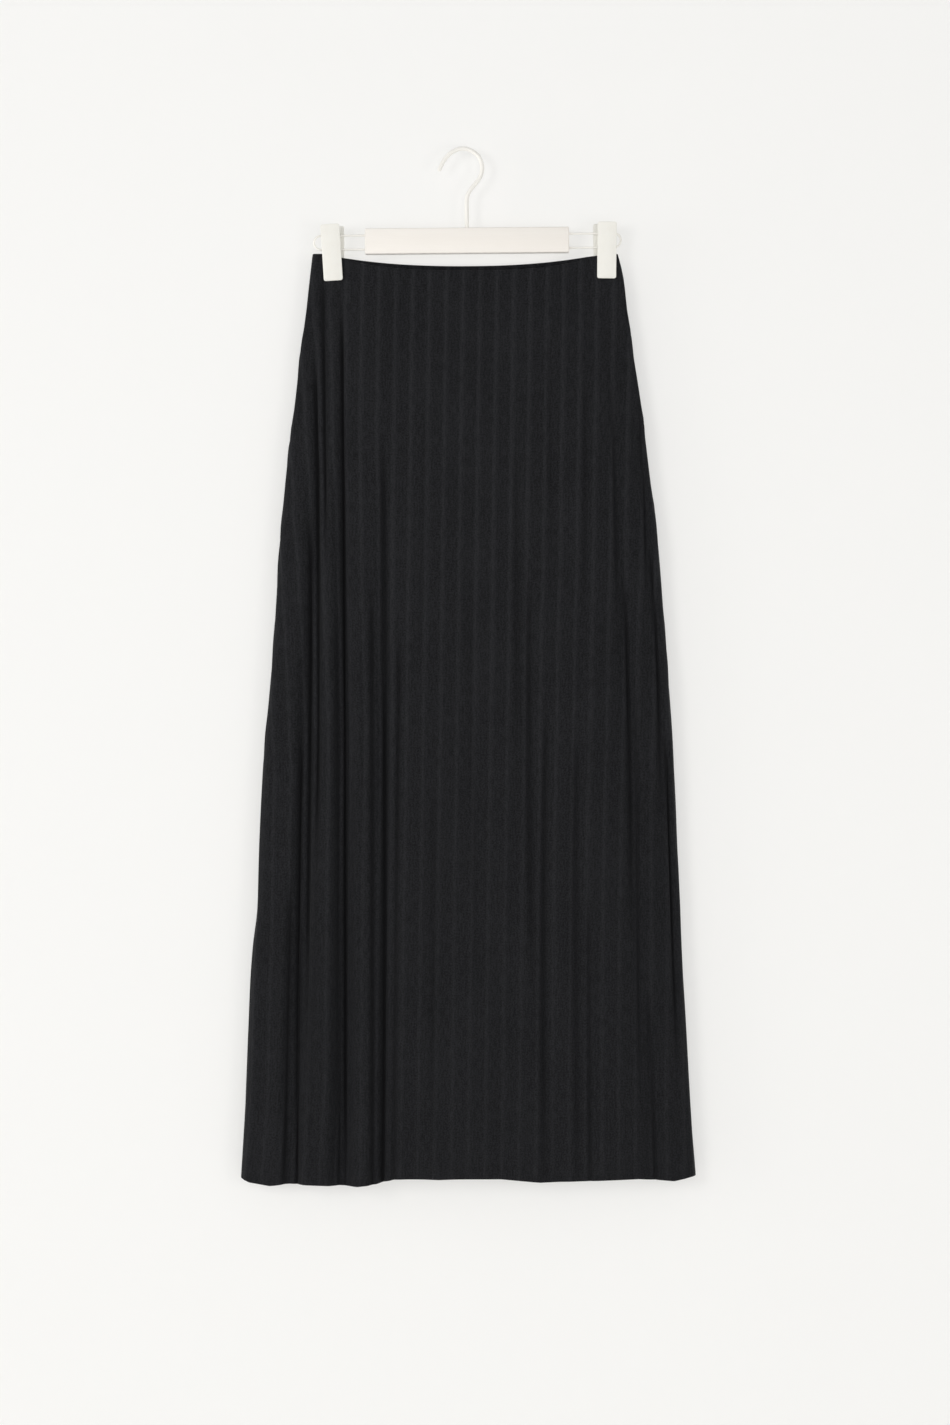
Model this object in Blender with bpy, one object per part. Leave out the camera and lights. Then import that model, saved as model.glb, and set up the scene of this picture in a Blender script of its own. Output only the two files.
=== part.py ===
"""Maxi skirt of ribbed cloth, hung by its waist from a two-clip hanger.

Metres, +Z up, and the skirt's front faces -Y. The origin is the inner crest of the hanger's
hook, where a peg or a rail carries it. Each panel is cut flat from ribbed cloth, given its
thickness, and then draped through sections of the hanging skirt.
"""

import math
from collections import namedtuple

import bmesh
import bpy
import numpy as np
from mathutils import Vector

# Cloth.
WALL = 0.0015
SEAM_GAP = 0.0003
RIB_PITCH = 0.0177
RIB_WIDTH = 0.0060
RIB_RISE = 0.0008
RIBS_LEFT = 15
RIBS_RIGHT = 18
SEAM_SNAP = 0.0012
SECTION_SAMPLES = 900
BULGE_POWER = 5.0
BULGE_EASE = 1.5

# Hanger. Its own frame is turned by HANGER_TILT about the hook's crest.
HANGER_TILT = math.radians(-0.5)
FIT_GAP = 0.0003
BAR_LENGTH = 0.2150
BAR_HEIGHT = 0.0270
BAR_THICKNESS = 0.0120
BAR_X = 0.0040
BAR_Z = -0.0952
BAR_EDGE = 0.0012
HOOK_WIRE = 0.0045
HOOK_SOCKET = 0.0150
HOOK_STEPS = 2
RAIL_WIRE = 0.0022
RAIL_SPACING = 0.0149
RAIL_Z = -0.0960
RAIL_LEFT_END = -0.1585
RAIL_RIGHT_END = 0.1672
RAIL_SOCKET = 0.0150
HOLE_REACH = 0.2000
CLIP_HEIGHT = 0.0590
CLIP_WIDTH = 0.0200
CLIP_Z = -0.1069
CLIP_JAW = 0.0205
CLIP_FLARE = 0.0052
CLIP_JAW_THICKNESS = 0.0031
CLIP_GRIP_THICKNESS = 0.0036
CLIP_EDGE = 0.0010
CORE_WIDTH = 0.0130
CORE_TOP = -0.0845
CORE_BOTTOM = -0.1080

# Where the middle line of the hook's wire runs, in x and z, from its tip to the top of its shaft.
HOOK_LINE = [
    (-0.0243, -0.0195),
    (-0.0212, -0.0130),
    (-0.0170, -0.0068),
    (-0.0112, -0.0018),
    (-0.0038, 0.0016),
    (0.0040, 0.0019),
    (0.0113, -0.0014),
    (0.0172, -0.0068),
    (0.0202, -0.0142),
    (0.0204, -0.0220),
    (0.0176, -0.0292),
    (0.0128, -0.0356),
    (0.0078, -0.0418),
    (0.0047, -0.0484),
    (BAR_X, -0.0560),
]

# One row for each section of the skirt, down from the hook's crest. left and right are the
# outline, front and back say how far each panel stands out from the middle plane, side is the
# radius on which it turns at the seam, and reach is the share of the half width that stands out.
Section = namedtuple("Section", "drop left right front back side reach")
SECTIONS = [
    Section(0.1111, -0.1570, 0.1635, 0.0075, 0.0060, 0.0009, 0.80),
    Section(0.1240, -0.1592, 0.1672, 0.0082, 0.0064, 0.0009, 0.80),
    Section(0.1390, -0.1614, 0.1703, 0.0095, 0.0072, 0.0010, 0.80),
    Section(0.1680, -0.1646, 0.1736, 0.0115, 0.0084, 0.0016, 0.89),
    Section(0.2100, -0.1703, 0.1793, 0.0138, 0.0098, 0.0028, 0.95),
    Section(0.2630, -0.1763, 0.1875, 0.0158, 0.0110, 0.0040, 0.98),
    Section(0.3420, -0.1860, 0.1972, 0.0182, 0.0124, 0.0053, 1.00),
    Section(0.4210, -0.1929, 0.2066, 0.0200, 0.0136, 0.0064, 1.00),
    Section(0.5264, -0.1996, 0.2144, 0.0220, 0.0147, 0.0075, 1.00),
    Section(0.6318, -0.2085, 0.2220, 0.0235, 0.0154, 0.0083, 1.00),
    Section(0.7372, -0.2142, 0.2258, 0.0246, 0.0159, 0.0089, 1.00),
    Section(0.8004, -0.2163, 0.2291, 0.0250, 0.0161, 0.0092, 1.00),
    Section(0.8426, -0.2212, 0.2308, 0.0253, 0.0162, 0.0094, 1.00),
    Section(0.9216, -0.2248, 0.2355, 0.0257, 0.0163, 0.0097, 1.00),
    Section(1.0007, -0.2285, 0.2398, 0.0260, 0.0164, 0.0099, 1.00),
    Section(1.0850, -0.2335, 0.2451, 0.0260, 0.0164, 0.0100, 1.00),
]
WAIST_DROP = SECTIONS[0].drop
HEM_DROP = SECTIONS[-1].drop

# One row for each fold. It starts below start, its valley runs through the three x values at
# start, MIDDLE_DROP and the hem, and middle and hem are its depth as a share of the panel's own.
MIDDLE_DROP = 0.6000
FOLD_START_WIDTH = 0.6
Fold = namedtuple("Fold", "start x_start x_middle x_hem width middle hem")
FRONT_FOLDS = [
    Fold(0.125, -0.1470, -0.1630, -0.1810, 0.0400, 0.78, 0.78),
    Fold(0.140, -0.1270, -0.1246, -0.1262, 0.0340, 0.78, 0.80),
    Fold(0.270, -0.0827, -0.0822, -0.0850, 0.0350, 0.42, 0.56),
    Fold(0.350, 0.0560, 0.0711, 0.0996, 0.0460, 0.13, 0.17),
    Fold(0.300, 0.1302, 0.1217, 0.1249, 0.0380, 0.10, 0.14),
    Fold(0.140, 0.1555, 0.1755, 0.2050, 0.0320, 0.30, 0.22),
    Fold(0.220, 0.1787, 0.2092, 0.2380, 0.0150, 0.24, 0.22),
]
BACK_FOLDS = [
    Fold(0.150, -0.1480, -0.1700, -0.1960, 0.0360, 0.66, 0.72),
    Fold(0.200, -0.1100, -0.1180, -0.1330, 0.0340, 0.50, 0.62),
    Fold(0.300, -0.0500, -0.0600, -0.0720, 0.0420, 0.52, 0.66),
    Fold(0.440, 0.0300, 0.0360, 0.0500, 0.0380, 0.36, 0.58),
    Fold(0.160, 0.1160, 0.1240, 0.1320, 0.0340, 0.68, 0.74),
    Fold(0.170, 0.1500, 0.1850, 0.2070, 0.0320, 0.56, 0.64),
]

# How far the hem hangs below HEM_DROP, across each panel.
HemPoint = namedtuple("HemPoint", "x lower")
FRONT_HEM = [
    HemPoint(-0.2335, -0.0030),
    HemPoint(-0.2240, 0.0014),
    HemPoint(-0.2030, 0.0046),
    HemPoint(-0.1820, 0.0026),
    HemPoint(-0.1100, 0.0044),
    HemPoint(-0.0900, 0.0020),
    HemPoint(-0.0700, -0.0036),
    HemPoint(0.0400, -0.0038),
    HemPoint(0.0820, -0.0002),
    HemPoint(0.1200, -0.0012),
    HemPoint(0.1850, -0.0034),
    HemPoint(0.2230, -0.0004),
    HemPoint(0.2451, -0.0050),
]
BACK_HEM = [
    HemPoint(-0.2335, -0.0030),
    HemPoint(-0.1700, 0.0010),
    HemPoint(-0.0700, 0.0008),
    HemPoint(-0.0250, 0.0022),
    HemPoint(0.0400, 0.0000),
    HemPoint(0.1300, -0.0030),
    HemPoint(0.2451, -0.0050),
]

# facing is the side of the middle plane, grain_x is where rib zero leaves the waist, lean is how
# far the ribs drift for each metre down, and the waist's scoop is dip deep around dip_x.
Panel = namedtuple("Panel", "name facing depth folds hem grain_x lean dip dip_x dip_power")
DIP_HALF_WIDTH = 0.1380
PANELS = [
    Panel("skirt_front", -1, "front", FRONT_FOLDS, FRONT_HEM, -0.0337, -0.0130, 0.0158, 0.0030, 3.0),
    Panel("skirt_back", 1, "back", BACK_FOLDS, BACK_HEM, 0.0020, 0.0000, 0.0100, -0.0010, 2.2),
]


def clear_scene():
    for obj in list(bpy.data.objects):
        bpy.data.objects.remove(obj, do_unlink=True)


def material(name, colour, roughness, metallic=0.0):
    made = bpy.data.materials.new(name)
    made.use_nodes = True
    shader = made.node_tree.nodes["Principled BSDF"]
    shader.inputs["Base Color"].default_value = (*colour, 1.0)
    shader.inputs["Roughness"].default_value = roughness
    shader.inputs["Metallic"].default_value = metallic
    return made


def add_object(name, data, finish, parent=None):
    obj = bpy.data.objects.new(name, data)
    data.materials.append(finish)
    bpy.context.scene.collection.objects.link(obj)
    obj.parent = parent
    return obj


def at_drop(column, drop):
    drops = [row.drop for row in SECTIONS]
    return float(np.interp(drop, drops, [getattr(row, column) for row in SECTIONS]))


def fold_share(fold, x, drop):
    """The share of the panel's depth that this fold takes away at each x of one section."""
    if drop <= fold.start:
        return np.zeros_like(x)
    if drop < MIDDLE_DROP:
        grown = (drop - fold.start) / (MIDDLE_DROP - fold.start)
        strength = fold.middle * grown * (2 - grown)
    else:
        strength = np.interp(drop, (MIDDLE_DROP, HEM_DROP), (fold.middle, fold.hem))
    path = np.polyfit(
        (fold.start, MIDDLE_DROP, HEM_DROP), (fold.x_start, fold.x_middle, fold.x_hem), 2
    )
    width = fold.width * np.interp(drop, (fold.start, HEM_DROP), (FOLD_START_WIDTH, 1))
    away = np.clip(np.abs(x - np.polyval(path, drop)) / (width / 2), 0, 1)
    return strength * (1 + np.cos(np.pi * away)) / 2


def section(panel, drop):
    """The middle line of a panel's wall at one height, from the left seam to the right one:
    its points, its outward normals and the length along the cloth from the rib line zero."""
    left = at_drop("left", drop) + WALL / 2
    right = at_drop("right", drop) - WALL / 2
    side = at_drop("side", drop)
    depth = at_drop(panel.depth, drop)
    x = left + (right - left) * (1 - np.cos(np.linspace(0, np.pi, SECTION_SAMPLES))) / 2
    inward = np.clip(np.minimum(x - left, right - x) / side, 0, 1)
    reached = np.abs(2 * x - left - right) / ((right - left) * at_drop("reach", drop))
    bulge = (1 - np.minimum(reached, 1) ** BULGE_POWER) ** BULGE_EASE
    stand = side * np.sqrt(1 - (1 - inward) ** 2) + (depth - side) * bulge
    for fold in panel.folds:
        stand *= 1 - fold_share(fold, x, drop)
    points = np.column_stack([x, panel.facing * (SEAM_GAP / 2 + stand)])
    steps = np.diff(points, axis=0)
    tangents = np.gradient(points, axis=0)
    tangents[0] = (0, panel.facing)
    tangents[-1] = (0, -panel.facing)
    tangents /= np.linalg.norm(tangents, axis=1)[:, None]
    normals = panel.facing * np.column_stack([-tangents[:, 1], tangents[:, 0]])
    length = np.concatenate([[0], np.cumsum(np.linalg.norm(steps, axis=1))])
    grain = panel.grain_x + panel.lean * (drop - WAIST_DROP)
    return points, normals, length - np.interp(grain, x, length)


def lowered(panel, x, drop):
    """The real drop of a point, with the waist's scoop and the hem's own line worked in."""
    share = (drop - WAIST_DROP) / (HEM_DROP - WAIST_DROP)
    away = min(abs(x - panel.dip_x) / DIP_HALF_WIDTH, 1)
    scoop = panel.dip * (1 - away**panel.dip_power)
    hem = np.interp(x, [point.x for point in panel.hem], [point.lower for point in panel.hem])
    return drop + (1 - share) * scoop + share * hem


def rib_rise(along):
    away = abs(along / RIB_PITCH - round(along / RIB_PITCH)) * RIB_PITCH
    return RIB_RISE * max(0, 1 - away / (RIB_WIDTH / 2))


def cloth_lines():
    """Where the lines of the flat cloth run: each rib's two feet and its crest, and the ground."""
    offsets = (-RIB_WIDTH / 2, 0, RIB_WIDTH / 2, RIB_PITCH / 2)
    ribs = range(-RIBS_LEFT, RIBS_RIGHT + 1)
    return [rib * RIB_PITCH + offset for rib in ribs for offset in offsets]


def cut_flat(mesh, lines, sections):
    """A grid on the flat cloth, trimmed to the panel's seams. A vertex then holds its length
    along the cloth in x and the number of its section in y."""
    columns = len(lines) - 1
    rows = len(sections) - 1
    bmesh.ops.create_grid(mesh, x_segments=columns, y_segments=rows, size=0.5)
    for vertex in mesh.verts:
        row = round((0.5 - vertex.co.y) * rows)
        along = lines[round((vertex.co.x + 0.5) * columns)]
        seams = sections[row][2]
        if along < seams[0] + SEAM_SNAP:
            along = seams[0]
        if along > seams[-1] - SEAM_SNAP:
            along = seams[-1]
        vertex.co = (along, row, 0)
    bmesh.ops.remove_doubles(mesh, verts=mesh.verts[:], dist=1e-6)


def thicken(mesh):
    """The outer layer is a second copy of the cloth at z 1, joined to the first at the edges."""
    layer = bmesh.ops.extrude_face_region(mesh, geom=mesh.faces[:], use_keep_orig=True)
    for item in layer["geom"]:
        if isinstance(item, bmesh.types.BMVert):
            item.co.z = 1


def drape(mesh, panel, sections):
    for vertex in mesh.verts:
        along, row, layer = vertex.co
        points, normals, lengths = sections[round(row)]
        place = [np.interp(along, lengths, points[:, axis]) for axis in (0, 1)]
        normal = np.array([np.interp(along, lengths, normals[:, axis]) for axis in (0, 1)])
        normal /= np.linalg.norm(normal)
        out = WALL / 2 + rib_rise(along) if layer > 0.5 else -WALL / 2
        x, y = place + normal * out
        vertex.co = (x, y, -lowered(panel, place[0], SECTIONS[round(row)].drop))


def make_panel(panel, finish):
    sections = [section(panel, row.drop) for row in SECTIONS]
    mesh = bmesh.new()
    cut_flat(mesh, cloth_lines(), sections)
    thicken(mesh)
    drape(mesh, panel, sections)
    bmesh.ops.recalc_face_normals(mesh, faces=mesh.faces[:])
    data = bpy.data.meshes.new(panel.name)
    mesh.to_mesh(data)
    mesh.free()
    data.shade_smooth()
    return add_object(panel.name, data, finish)


def tube(name, points, diameter, finish, parent):
    """A round wire along the points, closed at both ends."""
    curve = bpy.data.curves.new(name, "CURVE")
    curve.dimensions = "3D"
    curve.bevel_depth = diameter / 2
    curve.bevel_resolution = 3
    curve.use_fill_caps = True
    spline = curve.splines.new("POLY")
    spline.points.add(len(points) - 1)
    for target, point in zip(spline.points, points):
        target.co = (*point, 1)
    return add_object(name, curve, finish, parent)


def cutter(name, start, end, diameter, parent):
    """A guide cylinder from start to end, which only cuts."""
    start = Vector(start)
    end = Vector(end)
    mesh = bmesh.new()
    bmesh.ops.create_cone(
        mesh,
        cap_ends=True,
        segments=16,
        radius1=diameter / 2,
        radius2=diameter / 2,
        depth=(end - start).length,
    )
    data = bpy.data.meshes.new(name)
    mesh.to_mesh(data)
    mesh.free()
    obj = bpy.data.objects.new(name, data)
    bpy.context.scene.collection.objects.link(obj)
    obj.parent = parent
    obj.location = (start + end) / 2
    obj.rotation_euler = (end - start).to_track_quat("Z", "Y").to_euler()
    obj.hide_render = True
    obj.display_type = "WIRE"
    return obj


def cut_with(obj, tool):
    boolean = obj.modifiers.new(tool.name, "BOOLEAN")
    boolean.operation = "DIFFERENCE"
    boolean.object = tool
    boolean.solver = "EXACT"


def round_edges(obj, width):
    bevel = obj.modifiers.new("rounded_edges", "BEVEL")
    bevel.width = width
    bevel.segments = 2
    bevel.limit_method = "ANGLE"


def make_block(name, size, place, finish, parent):
    mesh = bmesh.new()
    bmesh.ops.create_cube(mesh, size=1)
    bmesh.ops.scale(mesh, vec=size, verts=mesh.verts[:])
    data = bpy.data.meshes.new(name)
    mesh.to_mesh(data)
    mesh.free()
    obj = add_object(name, data, finish, parent)
    obj.location = place
    return obj


def make_prism(name, outline, width, finish, parent):
    """An outline of (y, z) points, drawn out to its width along x."""
    mesh = bmesh.new()
    corners = [mesh.verts.new((-width / 2, y, z)) for y, z in outline]
    face = mesh.faces.new(corners)
    drawn = bmesh.ops.extrude_face_region(mesh, geom=[face], use_keep_orig=True)
    moved = [item for item in drawn["geom"] if isinstance(item, bmesh.types.BMVert)]
    bmesh.ops.translate(mesh, verts=moved, vec=(width, 0, 0))
    bmesh.ops.recalc_face_normals(mesh, faces=mesh.faces[:])
    data = bpy.data.meshes.new(name)
    mesh.to_mesh(data)
    mesh.free()
    return add_object(name, data, finish, parent)


def smooth_line(points, steps):
    """A Catmull-Rom curve through the points, with so many steps between two of them."""
    before = 2 * points[0] - points[1]
    after = 2 * points[-1] - points[-2]
    whole = [before] + points + [after]
    made = []
    for a, b, c, d in zip(whole, whole[1:], whole[2:], whole[3:]):
        for t in np.arange(steps) / steps:
            straight = 2 * b + (c - a) * t
            made.append((straight + (2 * a - 5 * b + 4 * c - d) * t**2 + (3 * b - a - 3 * c + d) * t**3) / 2)
    return made + [points[-1]]


def hook_route():
    """From the hook's tip, over the crest, round the bend and down the shaft into the bar."""
    places = smooth_line([Vector((x, 0, z)) for x, z in HOOK_LINE], HOOK_STEPS)
    return places + [Vector((BAR_X, 0, BAR_Z + BAR_HEIGHT / 2 - HOOK_SOCKET))]


def rail_route(end_x, outward):
    """Out of the bar along the upper rail, round the end and back along the lower one."""
    radius = RAIL_SPACING / 2
    socket_x = BAR_X + outward * (BAR_LENGTH / 2 - RAIL_SOCKET)
    centre_x = end_x - outward * (RAIL_WIRE / 2 + radius)
    angles = np.linspace(math.pi / 2, -math.pi / 2, 11)
    turn = [
        Vector((centre_x + outward * radius * math.cos(a), 0, RAIL_Z + radius * math.sin(a)))
        for a in angles
    ]
    upper = Vector((socket_x, 0, RAIL_Z + radius))
    lower = Vector((socket_x, 0, RAIL_Z - radius))
    return [upper] + turn + [lower]


def rail_cutters(side_name, outward, hanger):
    """Guides for the holes that the two rails of one side run through."""
    bottom = BAR_X + outward * (BAR_LENGTH / 2 - RAIL_SOCKET - FIT_GAP)
    mouth = outward * HOLE_REACH
    made = []
    for level, z in (("upper", RAIL_Z + RAIL_SPACING / 2), ("lower", RAIL_Z - RAIL_SPACING / 2)):
        name = f"hole_{side_name}_{level}"
        made.append(cutter(name, (bottom, 0, z), (mouth, 0, z), RAIL_WIRE + 2 * FIT_GAP, hanger))
    return made


def clip_gap(z):
    """Half the distance between a clip's plates at a height in the clip's own frame."""
    closed = SEAM_GAP / 2 + WALL + RIB_RISE + FIT_GAP
    jaw_top = CLIP_JAW - CLIP_HEIGHT / 2
    if z <= jaw_top:
        return closed
    return closed + CLIP_FLARE * (z - jaw_top) / (CLIP_HEIGHT / 2 - jaw_top)


def make_clip(side_name, x, back_shift, lean, cutters, plastic, hanger):
    bottom = -CLIP_HEIGHT / 2
    jaw_top = bottom + CLIP_JAW
    top = CLIP_HEIGHT / 2
    levels = (
        (bottom, CLIP_JAW_THICKNESS),
        (jaw_top, CLIP_GRIP_THICKNESS),
        (top, CLIP_GRIP_THICKNESS),
    )
    for face, facing, shift in (("front", -1, 0), ("back", 1, back_shift)):
        inner = [(facing * clip_gap(z), z) for z, _ in levels]
        outer = [(facing * (clip_gap(z) + thick), z) for z, thick in levels]
        plate = make_prism(f"clip_{side_name}_{face}", inner + outer[::-1], CLIP_WIDTH, plastic, hanger)
        plate.location = (x + shift, 0, CLIP_Z)
        plate.rotation_euler = (0, lean if face == "front" else 0, 0)
        round_edges(plate, CLIP_EDGE)
    low = CORE_BOTTOM - CLIP_Z
    high = CORE_TOP - CLIP_Z
    narrow = clip_gap(low) - FIT_GAP
    wide = clip_gap(high) - FIT_GAP
    outline = [(-narrow, low), (narrow, low), (wide, high), (-wide, high)]
    core = make_prism(f"clip_{side_name}_core", outline, CORE_WIDTH, plastic, hanger)
    core.location = (x + back_shift / 2, 0, CLIP_Z)
    for tool in cutters:
        cut_with(core, tool)


def make_hanger():
    painted = material("painted_wood", (0.91, 0.87, 0.80), 0.45)
    plastic = material("clip_plastic", (0.89, 0.86, 0.79), 0.40)
    enamel = material("enamelled_wire", (0.90, 0.88, 0.84), 0.35)
    hanger = bpy.data.objects.new("hanger", None)
    bpy.context.scene.collection.objects.link(hanger)
    hanger.rotation_euler = (0, HANGER_TILT, 0)

    bar_size = (BAR_LENGTH, BAR_THICKNESS, BAR_HEIGHT)
    bar = make_block("hanger_bar", bar_size, (BAR_X, 0, BAR_Z), painted, hanger)
    round_edges(bar, BAR_EDGE)
    tube("hanger_hook", hook_route(), HOOK_WIRE, enamel, hanger)
    bar_top = BAR_Z + BAR_HEIGHT / 2
    socket_bottom = (BAR_X, 0, bar_top - HOOK_SOCKET - FIT_GAP)
    above = (BAR_X, 0, bar_top + HOOK_SOCKET)
    cut_with(bar, cutter("hole_hook", socket_bottom, above, HOOK_WIRE + 2 * FIT_GAP, hanger))

    clips = (
        ("left", -1, RAIL_LEFT_END, -0.1387, 0.0030, math.radians(-3.1)),
        ("right", 1, RAIL_RIGHT_END, 0.1511, -0.0038, math.radians(1.0)),
    )
    for side_name, outward, rail_end, x, back_shift, lean in clips:
        tube(f"rail_{side_name}", rail_route(rail_end, outward), RAIL_WIRE, enamel, hanger)
        holes = rail_cutters(side_name, outward, hanger)
        for tool in holes:
            cut_with(bar, tool)
        make_clip(side_name, x, back_shift, lean, holes, plastic, hanger)


def main():
    clear_scene()
    cloth = material("ribbed_cloth", (0.016, 0.016, 0.018), 0.70)
    for panel in PANELS:
        make_panel(panel, cloth)
    make_hanger()


main()
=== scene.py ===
# %% [markdown]
# # A long ribbed skirt on a clip hanger
# The skirt is two panels of black ribbed cloth, sewn together at the sides and open at the waist
# and the hem. A plain hanger holds its waist between two clips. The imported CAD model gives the
# size and the place of every part. This script dresses it: ten of its twelve solids get a finer
# piece in their place, and each surface gets the finish that it has on the real thing.

# %% The frame
import math
from collections import namedtuple

import bmesh
import bpy
import numpy as np
from mathutils import Matrix, Vector


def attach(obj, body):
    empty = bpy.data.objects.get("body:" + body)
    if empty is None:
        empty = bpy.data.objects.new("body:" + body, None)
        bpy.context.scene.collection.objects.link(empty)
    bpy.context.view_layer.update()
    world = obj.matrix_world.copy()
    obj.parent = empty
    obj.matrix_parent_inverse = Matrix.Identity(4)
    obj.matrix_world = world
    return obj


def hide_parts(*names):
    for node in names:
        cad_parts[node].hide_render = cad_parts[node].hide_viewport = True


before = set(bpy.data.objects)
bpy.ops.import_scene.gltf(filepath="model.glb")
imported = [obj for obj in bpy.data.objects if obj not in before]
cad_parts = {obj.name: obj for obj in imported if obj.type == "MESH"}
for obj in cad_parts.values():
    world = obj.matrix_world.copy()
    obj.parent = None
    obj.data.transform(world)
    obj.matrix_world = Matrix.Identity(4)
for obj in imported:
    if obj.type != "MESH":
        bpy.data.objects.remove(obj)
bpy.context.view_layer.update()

# %% [markdown]
# ## The camera
# The photograph is 950 by 1425 pixels, taken straight on from far enough away that the sides of
# the hanger look parallel. One pixel is 1.054 mm on the skirt's middle plane. A camera needs a
# distance and a lens that together cover that height. A long lens from 4 m keeps the perspective
# as weak as it is in the photograph.

# %% Camera
PHOTO_WIDTH = 950
PHOTO_HEIGHT = 1425
METRES_PER_PIXEL = 0.001054
HOOK_PIXEL = (462.5, 150.6)
CAMERA_DISTANCE = 4.0
SENSOR = 36.0

view_height = PHOTO_HEIGHT * METRES_PER_PIXEL
centre_x = (PHOTO_WIDTH / 2 - HOOK_PIXEL[0]) * METRES_PER_PIXEL
centre_z = (HOOK_PIXEL[1] - PHOTO_HEIGHT / 2) * METRES_PER_PIXEL
camera_data = bpy.data.cameras.new("camera")
camera_data.sensor_width = SENSOR
camera_data.lens = SENSOR * CAMERA_DISTANCE / view_height
camera = bpy.data.objects.new("camera", camera_data)
bpy.context.scene.collection.objects.link(camera)
camera.location = (centre_x, -CAMERA_DISTANCE, centre_z)
camera.rotation_euler = (math.radians(90), 0, 0)
bpy.context.scene.camera = camera
print("camera centre:", round(centre_x, 4), round(centre_z, 4), "lens:", round(camera_data.lens, 1))

# %% [markdown]
# ## The shader helpers
# A material is a small graph of nodes. Two helpers keep the graphs short to read: one adds a node
# and fills in its inputs, the other makes a material whose Principled BSDF is ready to be fed.
# An input that is given as a socket is linked, and one that is given as a number is set.

# %% Shader helpers
def fill_socket(tree, socket, value):
    if isinstance(value, bpy.types.NodeSocket):
        tree.links.new(value, socket)
    else:
        socket.default_value = value


def add_node(tree, kind, inputs=None, **settings):
    node = tree.nodes.new(kind)
    for name, value in settings.items():
        setattr(node, name, value)
    for name, value in (inputs or {}).items():
        fill_socket(tree, node.inputs[name], value)
    return node


def math_node(tree, operation, first, second=0.0, third=0.0):
    inputs = {0: first, 1: second, 2: third}
    return add_node(tree, "ShaderNodeMath", inputs, operation=operation).outputs[0]


def ramp(tree, value, low, high, start=0.0, end=1.0):
    """Maps value from low..high to start..end, eased at both ends and held outside."""
    inputs = {"Value": value, "From Min": low, "From Max": high, "To Min": start, "To Max": end}
    return add_node(tree, "ShaderNodeMapRange", inputs, interpolation_type="SMOOTHSTEP").outputs["Result"]


def blend_colours(tree, share, first, second):
    inputs = {0: share, 6: first, 7: second}
    return add_node(tree, "ShaderNodeMix", inputs, data_type="RGBA").outputs[2]


def stretch(tree, place, scale):
    """The place, drawn out or pressed together along each axis."""
    inputs = {0: place, 1: scale}
    return add_node(tree, "ShaderNodeVectorMath", inputs, operation="MULTIPLY").outputs[0]


def noise(tree, place, scale, detail=2.0, roughness=0.5):
    inputs = {"Vector": place, "Scale": scale, "Detail": detail, "Roughness": roughness}
    return add_node(tree, "ShaderNodeTexNoise", inputs).outputs["Fac"]


def object_place(tree):
    return add_node(tree, "ShaderNodeTexCoord").outputs["Object"]


def new_material(name, **constants):
    """A material, with numbers that are the same all over set on the shader's own sockets."""
    material = bpy.data.materials.new(name)
    material.use_nodes = True
    shader = material.node_tree.nodes["Principled BSDF"]
    for socket, value in constants.items():
        shader.inputs[socket.replace("_", " ")].default_value = value
    return material, material.node_tree, shader


def new_group(name, inputs, outputs):
    """A node group with named sockets. An input is (name, type, value) and an output is a name."""
    group = bpy.data.node_groups.new(name, "ShaderNodeTree")
    for socket_name, kind, value in inputs:
        socket = group.interface.new_socket(socket_name, in_out="INPUT", socket_type=kind)
        if value is not None:
            socket.default_value = value
    for socket_name in outputs:
        group.interface.new_socket(socket_name, in_out="OUTPUT", socket_type="NodeSocketFloat")
    given = group.nodes.new("NodeGroupInput").outputs
    made = group.nodes.new("NodeGroupOutput").inputs
    return group, given, made


def place_group(tree, group, **values):
    node = add_node(tree, "ShaderNodeGroup", node_tree=group)
    for socket, value in values.items():
        fill_socket(tree, node.inputs[socket.replace("_", " ")], value)
    return node.outputs


def add_relief(tree, shader, height, distance, strength):
    inputs = {"Height": height, "Distance": distance, "Strength": strength}
    bump = add_node(tree, "ShaderNodeBump", inputs)
    tree.links.new(bump.outputs["Normal"], shader.inputs["Normal"])


# %% [markdown]
# ## Backdrop, floor and light
# The skirt hangs close to a plain off-white backdrop in soft, even daylight. Most of it comes from
# the front and the left, and a small, weak lamp stands low on the right. The backdrop shows its
# front only: from behind it lets the view and the light of the lamps through, so that the skirt's
# back, which has a lamp of its own, can be looked at too. The floor lies below the view.

# %% Stage finishes
BACKDROP_COLOUR = (0.450, 0.4485, 0.441, 1)
BACKDROP_GLOW = 1.070
FLOOR_COLOUR = (0.80, 0.79, 0.77, 1)
PLASTER_SCALE = 9.0
PLASTER_TONE = 0.988


def make_stage_finish(name, colour, glow):
    """A pale, dull finish that is clear from behind, and clear to the light of the lamps."""
    material, tree, shader = new_material(
        name, Roughness=0.95, Specular_IOR_Level=0.1, Emission_Color=colour, Emission_Strength=glow
    )
    mottle = noise(tree, object_place(tree), PLASTER_SCALE, 3.0)
    darker = tuple(channel * PLASTER_TONE for channel in colour[:3]) + (1,)
    tree.links.new(blend_colours(tree, mottle, darker, colour), shader.inputs["Base Color"])
    behind = add_node(tree, "ShaderNodeNewGeometry").outputs["Backfacing"]
    lamp_ray = add_node(tree, "ShaderNodeLightPath").outputs["Is Shadow Ray"]
    clear = add_node(tree, "ShaderNodeBsdfTransparent")
    unseen = math_node(tree, "MAXIMUM", behind, lamp_ray)
    mixed = add_node(tree, "ShaderNodeMixShader", {0: unseen, 1: shader.outputs[0], 2: clear.outputs[0]})
    tree.links.new(mixed.outputs[0], tree.nodes["Material Output"].inputs["Surface"])
    return material


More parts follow.
